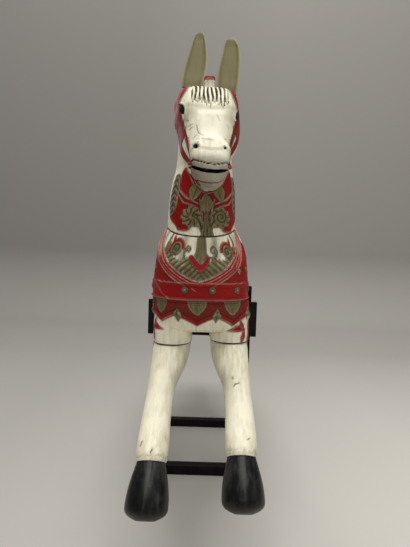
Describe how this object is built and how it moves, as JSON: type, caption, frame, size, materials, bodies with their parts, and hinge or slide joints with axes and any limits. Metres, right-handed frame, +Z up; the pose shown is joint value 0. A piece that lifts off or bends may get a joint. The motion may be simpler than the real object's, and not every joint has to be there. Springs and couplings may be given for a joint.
{
  "type": "carousel horse on a stand",
  "caption": "Carved and painted wooden carousel horse with stretched legs, carried by the cradle boards of a plain wooden frame stand.",
  "frame": {"origin": "bottom centre of the bounding box, on the floor under the stand", "axes": "+Z up; the horse faces -Y and its own left side is +X"},
  "size_m": [0.436, 1.6424, 1.6208],
  "materials": {
    "painted_horse": "hand-painted cream wood with red and old-gold ornament and black hooves, worn and grimy",
    "ear_paint": "satin olive-khaki paint, chipped at the tips",
    "black_stand": "satin black paint on sawn lumber"
  },
  "bodies": {
    "root": {"body": "painted_horse", "head_and_neck": "painted_horse", "ear_right": "ear_paint", "ear_left": "ear_paint", "foreleg_right": "painted_horse", "foreleg_left": "painted_horse", "hindleg_right": "painted_horse", "hindleg_left": "painted_horse", "tail": "painted_horse", "side_rail_right": "black_stand", "upright_front_right": "black_stand", "upright_rear_right": "black_stand", "side_rail_left": "black_stand", "upright_front_left": "black_stand", "upright_rear_left": "black_stand", "cross_bar_front": "black_stand", "cradle_board_front": "black_stand", "cross_bar_rear": "black_stand", "cradle_board_rear": "black_stand"}
  },
  "joints": []
}
